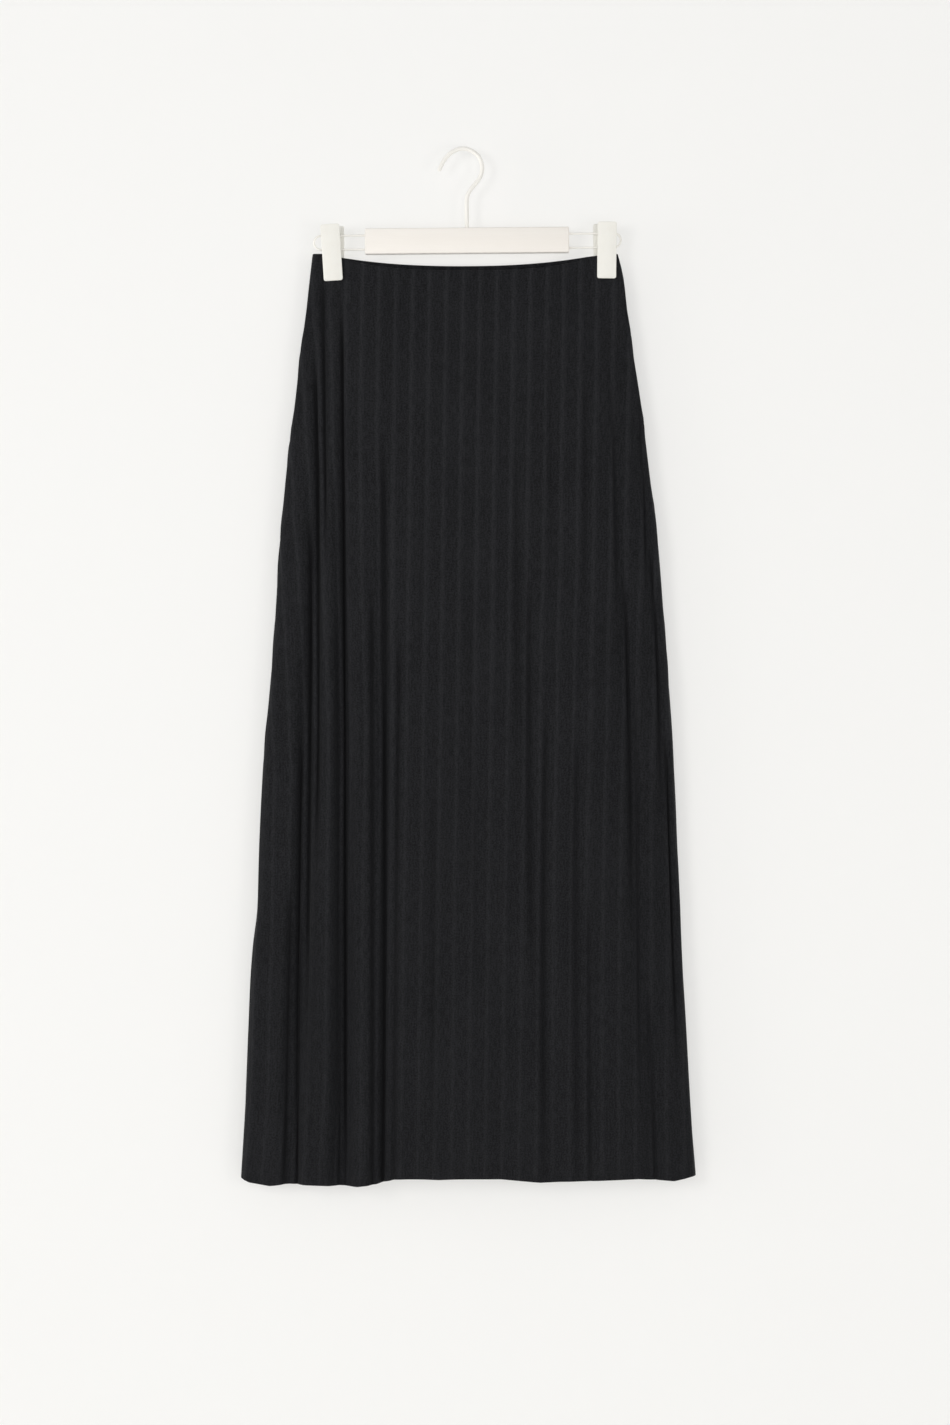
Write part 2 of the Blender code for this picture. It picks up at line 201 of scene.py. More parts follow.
# %% Backdrop and floor
BACKDROP_Y = 0.0215
BACKDROP_SIZE = (3.4, 2.9)
BACKDROP_CENTRE = (0, BACKDROP_Y, -0.18)
FLOOR_Z = -1.62
FLOOR_SIZE = (16.0, 16.0)


def link_object(name, data, finish):
    made = bpy.data.objects.new(name, data)
    data.materials.append(finish)
    bpy.context.scene.collection.objects.link(made)
    return made


def mesh_data(name, mesh):
    data = bpy.data.meshes.new(name)
    mesh.to_mesh(data)
    mesh.free()
    return data


def make_sheet_of_stage(name, size, centre, turn, finish):
    """A flat rectangle. It faces up, and turn tips it forwards about X."""
    mesh = bmesh.new()
    bmesh.ops.create_grid(mesh, x_segments=1, y_segments=1, size=0.5)
    place = Matrix.Translation(centre) @ Matrix.Rotation(turn, 4, "X") @ Matrix.Diagonal((*size, 1, 1))
    bmesh.ops.transform(mesh, verts=mesh.verts[:], matrix=place)
    link_object(name, mesh_data(name, mesh), finish)


backdrop_finish = make_stage_finish("plain_backdrop", BACKDROP_COLOUR, BACKDROP_GLOW)
floor_finish = make_stage_finish("plain_floor", FLOOR_COLOUR, 0.0)
make_sheet_of_stage("backdrop", BACKDROP_SIZE, BACKDROP_CENTRE, math.radians(90), backdrop_finish)
make_sheet_of_stage("floor", FLOOR_SIZE, (0, 0, FLOOR_Z), 0, floor_finish)

# %% Light
AMBIENT_COLOUR = (0.985, 0.99, 1.0, 1)
AMBIENT_STRENGTH = 0.385
LampPlan = namedtuple("LampPlan", "name place size watts colour")
LAMPS = [
    LampPlan("window_light", (-2.2, -3.9, 0.1), 1.6, 45, (1.0, 0.99, 0.975)),
    LampPlan("front_light", (0.2, -4.2, -0.6), 2.6, 37, (1.0, 0.99, 0.975)),
    LampPlan("left_light", (-4.0, -1.0, -0.5), 2.0, 40, (1.0, 0.99, 0.975)),
    LampPlan("right_light", (2.4, -3.6, -0.9), 1.2, 20, (1.0, 0.99, 0.975)),
    LampPlan("back_light", (1.2, 3.0, 0.6), 2.0, 38, (1.0, 0.99, 0.97)),
]
AIM = Vector((0, 0, -0.60))


def make_lamp(plan):
    data = bpy.data.lights.new(plan.name, "AREA")
    data.shape = "DISK"
    data.size = plan.size
    data.energy = plan.watts
    data.color = plan.colour
    lamp = bpy.data.objects.new(plan.name, data)
    lamp.location = plan.place
    lamp.rotation_euler = (AIM - lamp.location).to_track_quat("-Z", "Y").to_euler()
    bpy.context.scene.collection.objects.link(lamp)


world = bpy.data.worlds.new("daylight")
world.use_nodes = True
world.node_tree.nodes["Background"].inputs["Color"].default_value = AMBIENT_COLOUR
world.node_tree.nodes["Background"].inputs["Strength"].default_value = AMBIENT_STRENGTH
bpy.context.scene.world = world
bpy.context.scene.view_settings.view_transform = "Standard"
for plan in LAMPS:
    make_lamp(plan)
print("lamps:", [plan.name for plan in LAMPS])

# %% [markdown]
# ## The cloth as numbers
# A hanging skirt is hard to push into shape by hand, and a simulation would lose the folds that
# the photograph shows. So the skirt is described by level sections, as a boat's hull is. Each row
# of the first table is one section: how far out the two sides are, and how far the panels stand
# from the middle plane. They are the CAD solids' own values, with a smooth curve between the
# sections in place of straight runs.

# %% Sections of the skirt
RIB_PITCH = 0.0177
RIB_WIDTH = 0.0064
RIB_RISE = 0.0008
OUTER_FACE = 0.00075
INNER_FACE = 0.00025
Section = namedtuple("Section", "drop left right front back side reach")
SECTIONS = [
    Section(0.1111, -0.1570, 0.1635, 0.0075, 0.0060, 0.0009, 0.80),
    Section(0.1240, -0.1592, 0.1672, 0.0082, 0.0064, 0.0009, 0.80),
    Section(0.1390, -0.1614, 0.1703, 0.0095, 0.0072, 0.0010, 0.80),
    Section(0.1680, -0.1646, 0.1736, 0.0115, 0.0084, 0.0016, 0.89),
    Section(0.2100, -0.1703, 0.1793, 0.0138, 0.0098, 0.0028, 0.95),
    Section(0.2630, -0.1763, 0.1875, 0.0158, 0.0110, 0.0040, 0.98),
    Section(0.3420, -0.1860, 0.1972, 0.0182, 0.0124, 0.0053, 1.00),
    Section(0.4210, -0.1929, 0.2066, 0.0200, 0.0136, 0.0064, 1.00),
    Section(0.5264, -0.1996, 0.2144, 0.0220, 0.0147, 0.0075, 1.00),
    Section(0.6318, -0.2085, 0.2220, 0.0235, 0.0154, 0.0083, 1.00),
    Section(0.7372, -0.2142, 0.2258, 0.0246, 0.0159, 0.0089, 1.00),
    Section(0.8004, -0.2163, 0.2291, 0.0250, 0.0161, 0.0092, 1.00),
    Section(0.8426, -0.2212, 0.2308, 0.0253, 0.0162, 0.0094, 1.00),
    Section(0.9216, -0.2248, 0.2355, 0.0257, 0.0163, 0.0097, 1.00),
    Section(1.0007, -0.2285, 0.2398, 0.0260, 0.0164, 0.0099, 1.00),
    Section(1.0850, -0.2335, 0.2451, 0.0260, 0.0164, 0.0100, 1.00),
]
WAIST_DROP = SECTIONS[0].drop
HEM_DROP = SECTIONS[-1].drop


def smooth_column(name):
    """A function of the drop that runs smoothly through one column, and never past its values."""
    drops = np.array([row.drop for row in SECTIONS])
    values = np.array([getattr(row, name) for row in SECTIONS])
    steps = np.diff(drops)
    slopes = np.diff(values) / steps
    product = slopes[:-1] * slopes[1:]
    total = np.where(product > 0, slopes[:-1] + slopes[1:], 1.0)
    inner = np.where(product > 0, 2 * product / total, 0.0)
    tangents = np.concatenate([slopes[:1], inner, slopes[-1:]])

    def at(drop):
        number = int(np.clip(np.searchsorted(drops, drop) - 1, 0, len(steps) - 1))
        step = steps[number]
        t = (drop - drops[number]) / step
        rise = values[number + 1] - values[number]
        leave = tangents[number] * step
        arrive = tangents[number + 1] * step
        bend = 3 * rise - 2 * leave - arrive
        return values[number] + t * leave + t * t * bend + t**3 * (leave + arrive - 2 * rise)

    return at


column = {name: smooth_column(name) for name in Section._fields[1:]}
print("half way down the skirt is", round(column["right"](0.6) - column["left"](0.6), 4), "m wide")

# %% [markdown]
# ## Folds
# A fold starts where the cloth is held by a clip and grows on its way down. Its valley follows a
# bent line through three places, and takes away a share of the panel's depth. The solids have the
# same folds. Here they are about a third shallower, because the creases cut into them.

# %% Folds
MIDDLE_DROP = 0.6000
FOLD_START_WIDTH = 0.6
FOLD_DEPTH = 0.64
Fold = namedtuple("Fold", "start x_start x_middle x_hem width middle hem")
FRONT_FOLDS = [
    Fold(0.125, -0.1470, -0.1630, -0.1810, 0.0400, 0.78, 0.78),
    Fold(0.140, -0.1270, -0.1246, -0.1262, 0.0340, 0.78, 0.80),
    Fold(0.270, -0.0827, -0.0822, -0.0850, 0.0350, 0.42, 0.56),
    Fold(0.350, 0.0560, 0.0711, 0.0996, 0.0460, 0.13, 0.17),
    Fold(0.300, 0.1302, 0.1217, 0.1249, 0.0380, 0.10, 0.14),
    Fold(0.140, 0.1555, 0.1755, 0.2050, 0.0320, 0.30, 0.22),
    Fold(0.220, 0.1787, 0.2092, 0.2380, 0.0150, 0.24, 0.22),
]
BACK_FOLDS = [
    Fold(0.150, -0.1480, -0.1700, -0.1960, 0.0360, 0.66, 0.72),
    Fold(0.200, -0.1100, -0.1180, -0.1330, 0.0340, 0.50, 0.62),
    Fold(0.300, -0.0500, -0.0600, -0.0720, 0.0420, 0.52, 0.66),
    Fold(0.440, 0.0300, 0.0360, 0.0500, 0.0380, 0.36, 0.58),
    Fold(0.160, 0.1160, 0.1240, 0.1320, 0.0340, 0.68, 0.74),
    Fold(0.170, 0.1500, 0.1850, 0.2070, 0.0320, 0.56, 0.64),
]


def fold_share(fold, x, drop):
    """The share of the panel's depth that a fold takes away at each x of one section."""
    if drop <= fold.start:
        return np.zeros_like(x)
    if drop < MIDDLE_DROP:
        grown = (drop - fold.start) / (MIDDLE_DROP - fold.start)
        strength = fold.middle * grown * (2 - grown)
    else:
        strength = np.interp(drop, (MIDDLE_DROP, HEM_DROP), (fold.middle, fold.hem))
    drops = (fold.start, MIDDLE_DROP, HEM_DROP)
    path = np.polyfit(drops, (fold.x_start, fold.x_middle, fold.x_hem), 2)
    width = fold.width * np.interp(drop, (fold.start, HEM_DROP), (FOLD_START_WIDTH, 1))
    away = np.clip(np.abs(x - np.polyval(path, drop)) / (width / 2), 0, 1)
    return FOLD_DEPTH * strength * (1 + np.cos(np.pi * away)) / 2


# %% [markdown]
# ## Creases
# Inside and beside the folds run the creases, dark lines about a centimetre wide. Each row places
# one of them: where it starts and ends, the three x values that its line bends through,
# how wide and how deep it is. A negative depth makes a low ridge. The front ones are where the
# photograph shows them, as uneven as they are there. The back has others like them.

# %% Front creases
Crease = namedtuple("Crease", "top bottom x_top x_middle x_bottom width depth")
FRONT_CREASES = [
    Crease(0.125, 0.450, -0.1478, -0.1446, -0.1432, 0.0086, 0.0040),
    Crease(0.200, 0.780, -0.1560, -0.1506, -0.1532, 0.0094, 0.0045),
    Crease(0.370, 0.940, -0.1594, -0.1600, -0.1633, 0.0092, 0.0046),
    Crease(0.590, 1.200, -0.1690, -0.1724, -0.1736, 0.0090, 0.0044),
    Crease(0.760, 1.180, -0.1806, -0.1850, -0.1884, 0.0096, 0.0030),
    Crease(0.580, 1.120, -0.1510, -0.1565, -0.1610, 0.0160, 0.0012),
    Crease(0.145, 1.120, -0.1270, -0.1232, -0.1226, 0.0088, 0.0044),
    Crease(0.470, 1.190, -0.1322, -0.1302, -0.1298, 0.0090, 0.0017),
    Crease(0.430, 1.260, -0.0952, -0.0942, -0.0955, 0.0096, 0.0030),
    Crease(0.280, 1.220, -0.0836, -0.0812, -0.0856, 0.0104, 0.0024),
    Crease(0.540, 1.220, -0.0822, -0.0820, -0.0856, 0.0104, 0.0017),
    Crease(0.480, 1.230, -0.0656, -0.0694, -0.0732, 0.0096, 0.0024),
    Crease(0.430, 0.920, 0.0701, 0.0706, 0.0746, 0.0125, 0.0018),
    Crease(0.560, 1.130, 0.0885, 0.0850, 0.0862, 0.0120, 0.0022),
    Crease(0.300, 0.640, 0.0570, 0.0575, 0.0585, 0.0120, 0.0012),
    Crease(0.600, 1.150, 0.1196, 0.1192, 0.1222, 0.0120, 0.0014),
    Crease(0.230, 0.520, 0.1295, 0.1290, 0.1280, 0.0110, 0.0013),
    Crease(0.780, 1.180, 0.1320, 0.1330, 0.1350, 0.0110, 0.0018),
    Crease(0.240, 0.520, 0.1550, 0.1605, 0.1640, 0.0090, 0.0018),
    Crease(0.430, 0.850, 0.1680, 0.1752, 0.1768, 0.0090, 0.0030),
    Crease(0.560, 1.050, 0.1829, 0.1832, 0.1866, 0.0096, 0.0020),
    Crease(0.880, 1.200, 0.1950, 0.2006, 0.2060, 0.0096, 0.0020),
    Crease(0.240, 0.500, 0.1866, 0.1905, 0.1950, 0.0076, 0.0024),
    Crease(0.410, 0.720, 0.1970, 0.2050, 0.2080, 0.0084, 0.0030),
    Crease(0.600, 1.000, 0.2130, 0.2192, 0.2270, 0.0072, 0.0040),
    Crease(0.250, 0.560, -0.0380, -0.0400, -0.0430, 0.0140, 0.0007),
    Crease(0.450, 0.900, 0.0080, 0.0110, 0.0150, 0.0160, 0.0007),
    Crease(0.180, 0.420, 0.0900, 0.0920, 0.0950, 0.0140, 0.0008),
    Crease(0.650, 1.090, -0.0290, -0.0300, -0.0310, 0.0140, 0.0010),
    Crease(0.250, 0.600, 0.0330, 0.0340, 0.0360, 0.0150, -0.0006),
    Crease(0.700, 1.080, 0.0420, 0.0450, 0.0500, 0.0160, -0.0008),
    Crease(0.300, 0.760, -0.1060, -0.1075, -0.1090, 0.0120, -0.0010),
    Crease(0.300, 0.900, -0.1380, -0.1400, -0.1420, 0.0100, -0.0010),
]

# %% Back creases
BACK_CREASES = [
    Crease(0.170, 0.560, -0.1370, -0.1420, -0.1440, 0.0095, 0.0036),
    Crease(0.300, 0.860, -0.1600, -0.1640, -0.1700, 0.0100, 0.0030),
    Crease(0.520, 1.200, -0.1560, -0.1740, -0.1880, 0.0095, 0.0040),
    Crease(0.760, 1.200, -0.1930, -0.1990, -0.2050, 0.0100, 0.0026),
    Crease(0.240, 0.900, -0.1120, -0.1170, -0.1210, 0.0092, 0.0040),
    Crease(0.640, 1.210, -0.1280, -0.1330, -0.1400, 0.0100, 0.0034),
    Crease(0.420, 1.020, -0.0540, -0.0600, -0.0670, 0.0092, 0.0038),
    Crease(0.700, 1.220, -0.0760, -0.0790, -0.0850, 0.0098, 0.0030),
    Crease(0.520, 1.200, 0.0320, 0.0380, 0.0480, 0.0105, 0.0034),
    Crease(0.780, 1.180, 0.0560, 0.0590, 0.0620, 0.0110, 0.0020),
    Crease(0.240, 0.640, 0.0820, 0.0800, 0.0790, 0.0150, 0.0010),
    Crease(0.220, 0.920, 0.1180, 0.1230, 0.1260, 0.0090, 0.0042),
    Crease(0.620, 1.220, 0.1330, 0.1360, 0.1400, 0.0098, 0.0034),
    Crease(0.300, 0.820, 0.1600, 0.1740, 0.1860, 0.0092, 0.0040),
    Crease(0.640, 1.200, 0.1900, 0.1980, 0.2060, 0.0100, 0.0034),
    Crease(0.380, 0.760, -0.0120, -0.0130, -0.0150, 0.0160, -0.0008),
    Crease(0.600, 1.050, 0.0880, 0.0900, 0.0930, 0.0150, -0.0009),
    Crease(0.260, 0.620, -0.0800, -0.0840, -0.0870, 0.0130, -0.0009),
]

# %% One crease
FADE_IN = (0.075, 0.12)
FADE_OUT = (0.160, 0.35)


def ease(share):
    share = np.clip(share, 0, 1)
    return share * share * (3 - 2 * share)


def crease_depth(crease, x, drop):
    """How deep one crease is at each x of one section. It fades in below its top and out above
    its bottom, over a length in metres or over a share of its own length if that is less."""
    if not crease.top < drop < crease.bottom:
        return np.zeros_like(x)
    length = crease.bottom - crease.top
    path = np.polyfit((0, 0.5, 1), (crease.x_top, crease.x_middle, crease.x_bottom), 2)
    fade_in = min(FADE_IN[0], FADE_IN[1] * length)
    fade_out = min(FADE_OUT[0], FADE_OUT[1] * length)
    fade = ease((drop - crease.top) / fade_in) * ease((crease.bottom - drop) / fade_out)
    line = np.polyval(path, (drop - crease.top) / length)
    away = np.clip(np.abs(x - line) / (crease.width / 2), 0, 1)
    return crease.depth * fade * (1 + np.cos(np.pi * away)) / 2


# %% [markdown]
# ## Soft swells
# Between its folds real cloth is never quite flat. A few long, low waves that run down the panel
# at slightly different slants keep the light moving over it. They fade out towards the clips,
# where the cloth is held flat.

# %% Swells
Swell = namedtuple("Swell", "length lean phase height")
SWELLS = [
    Swell(0.083, 0.10, 0.4, 0.00045),
    Swell(0.051, -0.07, 2.1, 0.00030),
    Swell(0.031, 0.05, 4.4, 0.00016),
]
FREE_STAND = (0.0030, 0.0110)


def swell_height(x, drop, shift):
    total = np.zeros_like(x)
    for swell in SWELLS:
        turn = 2 * np.pi * (x + swell.lean * drop) / swell.length
        total += swell.height * np.sin(turn + swell.phase + shift)
    return total


# %% The two panels
HemPoint = namedtuple("HemPoint", "x lower")
FRONT_HEM = [
    HemPoint(-0.2335, -0.0030),
    HemPoint(-0.2240, 0.0014),
    HemPoint(-0.2030, 0.0046),
    HemPoint(-0.1820, 0.0026),
    HemPoint(-0.1100, 0.0044),
    HemPoint(-0.0900, 0.0020),
    HemPoint(-0.0700, -0.0036),
    HemPoint(0.0400, -0.0038),
    HemPoint(0.0820, -0.0002),
    HemPoint(0.1200, -0.0012),
    HemPoint(0.1850, -0.0034),
    HemPoint(0.2230, -0.0004),
    HemPoint(0.2451, -0.0050),
]
BACK_HEM = [
    HemPoint(-0.2335, -0.0030),
    HemPoint(-0.1700, 0.0010),
    HemPoint(-0.0700, 0.0008),
    HemPoint(-0.0250, 0.0022),
    HemPoint(0.0400, 0.0000),
    HemPoint(0.1300, -0.0030),
    HemPoint(0.2451, -0.0050),
]
PANEL_FIELDS = "name node facing depth folds creases hem grain_x lean dip dip_x dip_power shift"
Panel = namedtuple("Panel", PANEL_FIELDS)
FRONT = Panel(
    "front_cloth", "skirt_front", -1, "front", FRONT_FOLDS, FRONT_CREASES, FRONT_HEM,
    -0.0337, -0.0130, 0.0158, 0.0030, 3.0, 0.0,
)
BACK = Panel(
    "back_cloth", "skirt_back", 1, "back", BACK_FOLDS, BACK_CREASES, BACK_HEM,
    0.0020, 0.0000, 0.0100, -0.0010, 2.2, 1.7,
)
DIP_HALF_WIDTH = 0.1380
CORNER_LIFT = 0.0022
CORNERS_MIDDLE = 0.0030
CORNERS_START = 0.1350
CORNERS_RUN = 0.0150
CORNERS_REACH = 0.0500

# %% One section of a panel
SECTION_SAMPLES = 2200
BULGE_POWER = 5.0
BULGE_EASE = 1.5
DEEP_CREASE = 0.0043
DEEPEST_SHARE = 0.70
TINY = 1e-6
Cut = namedtuple("Cut", "drop points normals lengths tucks")


def cut_section(panel, drop):
    """The middle line of the cloth at one height, from the left seam to the right one: its points,
    its outward normals, its length from the rib that is counted as zero, and how far it is tucked
    into a crease, from 0 to 1, which later darkens the cloth's colour there as painted shade."""
    left = column["left"](drop) + OUTER_FACE
    right = column["right"](drop) - OUTER_FACE
    side = column["side"](drop)
    depth = column[panel.depth](drop)
    x = left + (right - left) * (1 - np.cos(np.linspace(0, np.pi, SECTION_SAMPLES))) / 2
    inward = np.clip(np.minimum(x - left, right - x) / side, 0, 1)
    reached = np.abs(2 * x - left - right) / ((right - left) * column["reach"](drop))
    bulge = (1 - np.minimum(reached, 1) ** BULGE_POWER) ** BULGE_EASE
    stand = side * np.sqrt(1 - (1 - inward) ** 2) + (depth - side) * bulge
    free = ease((stand - FREE_STAND[0]) / (FREE_STAND[1] - FREE_STAND[0]))
    off_seam = ease(np.minimum(x - left, right - x) / side)
    for fold in panel.folds:
        stand *= 1 - fold_share(fold, x, drop)
    tuck = off_seam * sum(crease_depth(crease, x, drop) for crease in panel.creases)
    stand += off_seam * free * swell_height(x, drop, panel.shift)
    room = DEEPEST_SHARE * stand + TINY
    stand -= tuck / np.cbrt(1 + np.maximum(tuck / room, 0) ** 3)
    points = np.column_stack([x, panel.facing * stand])
    tangents = np.gradient(points, axis=0)
    tangents[0] = (0, panel.facing)
    tangents[-1] = (0, -panel.facing)
    tangents /= np.linalg.norm(tangents, axis=1)[:, None]
    normals = panel.facing * np.column_stack([-tangents[:, 1], tangents[:, 0]])
    steps = np.linalg.norm(np.diff(points, axis=0), axis=1)
    lengths = np.concatenate([[0], np.cumsum(steps)])
    lengths -= np.interp(panel.grain_x + panel.lean * (drop - WAIST_DROP), x, lengths)
    return Cut(drop, points, normals, lengths, np.clip(tuck / DEEP_CREASE, 0, 1))


def hung_drop(panel, x, drop):
    """The real drop of each point, with the waist's scoop, the waist's corners beyond the clips
    and the hem's own line worked in."""
    share = (drop - WAIST_DROP) / (HEM_DROP - WAIST_DROP)
    away = np.minimum(np.abs(x - panel.dip_x) / DIP_HALF_WIDTH, 1)
    scoop = panel.dip * (1 - away**panel.dip_power)
    corner = CORNER_LIFT * ease((np.abs(x - CORNERS_MIDDLE) - CORNERS_START) / CORNERS_RUN)
    near_waist = ease(1 - (drop - WAIST_DROP) / CORNERS_REACH)
    hem = np.interp(x, [point.x for point in panel.hem], [point.lower for point in panel.hem])
    return drop + (1 - share) * scoop - near_waist * corner + share * hem


# %% [markdown]
# ## From flat cloth to hanging cloth
# Each panel starts as a flat grid, as it lies on the cutting table. Its columns follow the ribs
# and its rows are the sections. Columns that run past a seam are pulled back onto it and merged,
# which cuts the slanting sides. One extrusion gives the cloth its second face. Only then is it
# draped: each vertex moves to where its length along the cloth lies in its section. This keeps
# the ribs straight on the cloth, and lets them crowd together inside the folds as real ones do.

# %% Columns and rows
COLUMN_STEP = RIB_PITCH / 15
SEAM_SNAP = COLUMN_STEP / 3
ROW_STEP = 0.0104
EDGE_ROWS = (0.0, 0.00010, 0.00030, 0.00062)
EDGE_ROUND = EDGE_ROWS[-1]
HEM_TURN = 0.0220
HEM_PLY = 0.0009
TURN_STEP = 0.0007

turn_top = HEM_DROP - HEM_TURN
body_count = round((turn_top - WAIST_DROP) / ROW_STEP)
row_drops = [WAIST_DROP + edge for edge in EDGE_ROWS]
row_drops += list(np.linspace(WAIST_DROP + 0.004, turn_top - TURN_STEP, body_count))
row_drops += list(np.linspace(turn_top, HEM_DROP - 3 * EDGE_ROUND, 3))
row_drops += [HEM_DROP - edge for edge in reversed(EDGE_ROWS)]
print("rows:", len(row_drops), "columns for each rib:", round(RIB_PITCH / COLUMN_STEP))


# %% Cutting
def cut_flat(mesh, cuts):
    """A grid on the flat cloth, trimmed to the seams: length along the cloth in x, row in y."""
    first = math.floor(min(cut.lengths[0] for cut in cuts) / COLUMN_STEP)
    last = math.ceil(max(cut.lengths[-1] for cut in cuts) / COLUMN_STEP)
    columns = last - first
    rows = len(cuts) - 1
    bmesh.ops.create_grid(mesh, x_segments=columns, y_segments=rows, size=0.5)
    for vertex in mesh.verts:
        row = round((vertex.co.y + 0.5) * rows)
        along = (first + round((vertex.co.x + 0.5) * columns)) * COLUMN_STEP
        seams = cuts[row].lengths[[0, -1]]
        if along < seams[0] + SEAM_SNAP:
            along = seams[0]
        if along > seams[1] - SEAM_SNAP:
            along = seams[1]
        vertex.co = (along, row, 0)
    bmesh.ops.remove_doubles(mesh, verts=mesh.verts[:], dist=TINY)


def add_second_face(mesh):
    doubled = bmesh.ops.extrude_face_region(mesh, geom=mesh.faces[:], use_keep_orig=True)
    for item in doubled["geom"]:
        if isinstance(item, bmesh.types.BMVert):
            item.co.z = 1
    bmesh.ops.recalc_face_normals(mesh, faces=mesh.faces[:])


# %% Draping
def rib_rise(along):
    away = np.abs(along / RIB_PITCH - np.round(along / RIB_PITCH)) * RIB_PITCH
    return RIB_RISE * np.cos(np.pi / 2 * np.clip(away / (RIB_WIDTH / 2), 0, 1)) ** 2


def edge_roundness(drop):
    """1 in the cloth, and down to 0 along a quarter circle at the waist's and the hem's edge."""
    inward = np.clip(min(drop - WAIST_DROP, HEM_DROP - drop) / EDGE_ROUND, 0, 1)
    return math.sqrt(1 - (1 - inward) ** 2)


def hem_ply(drop):
    """The turned-up ply on the inside of the hem."""
    return HEM_PLY * float(np.clip((drop - turn_top + TURN_STEP) / TURN_STEP, 0, 1))


def drape(data, panel, cuts):
    """Moves the flat cloth's vertices to where they hang. Their flat places become the UV map, and
    each vertex also keeps how far it is from a seam and how deep it lies in a crease, which the
    finish turns into painted shade."""
    flat = np.empty(len(data.vertices) * 3)
    data.vertices.foreach_get("co", flat)
    flat = flat.reshape(-1, 3)
    rows = np.rint(flat[:, 1]).astype(int)
    placed = np.empty_like(flat)
    cloth_place = np.empty((len(flat), 2))
    to_seam = np.empty(len(flat))
    tuck = np.empty(len(flat))
    for number, cut in enumerate(cuts):
        here = rows == number
        along = flat[here, 0]
        place = np.column_stack([np.interp(along, cut.lengths, cut.points[:, axis]) for axis in (0, 1)])
        normal = np.column_stack([np.interp(along, cut.lengths, cut.normals[:, axis]) for axis in (0, 1)])
        normal /= np.linalg.norm(normal, axis=1)[:, None]
        outwards = OUTER_FACE + rib_rise(along)
        inwards = -INNER_FACE - hem_ply(cut.drop)
        out = np.where(flat[here, 2] > 0.5, outwards, inwards) * edge_roundness(cut.drop)
        placed[here, :2] = place + normal * out[:, None]
        placed[here, 2] = -hung_drop(panel, place[:, 0], cut.drop)
        cloth_place[here, 0] = along
        cloth_place[here, 1] = -cut.drop
        to_seam[here] = np.minimum(along - cut.lengths[0], cut.lengths[-1] - along)
        tuck[here] = np.interp(along, cut.lengths, cut.tucks)
    data.vertices.foreach_set("co", placed.ravel())
    corners = np.empty(len(data.loops), np.int32)
    data.loops.foreach_get("vertex_index", corners)
    data.uv_layers.new(name="cloth").uv.foreach_set("vector", cloth_place[corners].ravel())
    data.attributes.new("to_seam", "FLOAT", "POINT").data.foreach_set("value", to_seam)
    data.attributes.new("tuck", "FLOAT", "POINT").data.foreach_set("value", tuck)
    data.update()


def make_panel(panel, finish):
    cuts = [cut_section(panel, drop) for drop in row_drops]
    mesh = bmesh.new()
    cut_flat(mesh, cuts)
    add_second_face(mesh)
    if panel.facing < 0:
        bmesh.ops.reverse_faces(mesh, faces=mesh.faces[:])
    data = mesh_data(panel.name, mesh)
    drape(data, panel, cuts)
    data.shade_smooth()
    piece = link_object(panel.name, data, finish)
    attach(piece, "root")
    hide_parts(panel.node)


# %% [markdown]
# ## The cloth's finish
# The cloth is a matt black rib knit. Up close it has fine upright wales and rows of loops, and
# every 17.7 mm a raised rib that catches more light. That light is painted into the colour too:
# the rib crests are lighter, partly by the yarn's own tone and partly as a painted highlight, and
# the cloth deep in the creases is darker as painted shade. The pattern must follow the cloth and
# not the room, so it reads the flat cloth's UV map: across is the length along the cloth and up is
# the height, both in metres. One node group makes the rib, the tone and the height of the loops.

# %% Knit group
WALES_PER_RIB = 16
COURSE_HEIGHT = 0.0009
LOOP_LIFT = 1.6
COURSE_MIDDLE = 0.65
COURSE_SWING = 0.35
RIB_EDGE = (0.20, 1.50)
STREAK_SCALE = (560, 90, 1)
GRAIN_SCALE = (620, 560, 1)
PATCH_SCALE = 14.0
STREAK_SHARE = 0.26
GRAIN_SHARE = 0.66
PATCH_SHARE = 0.08


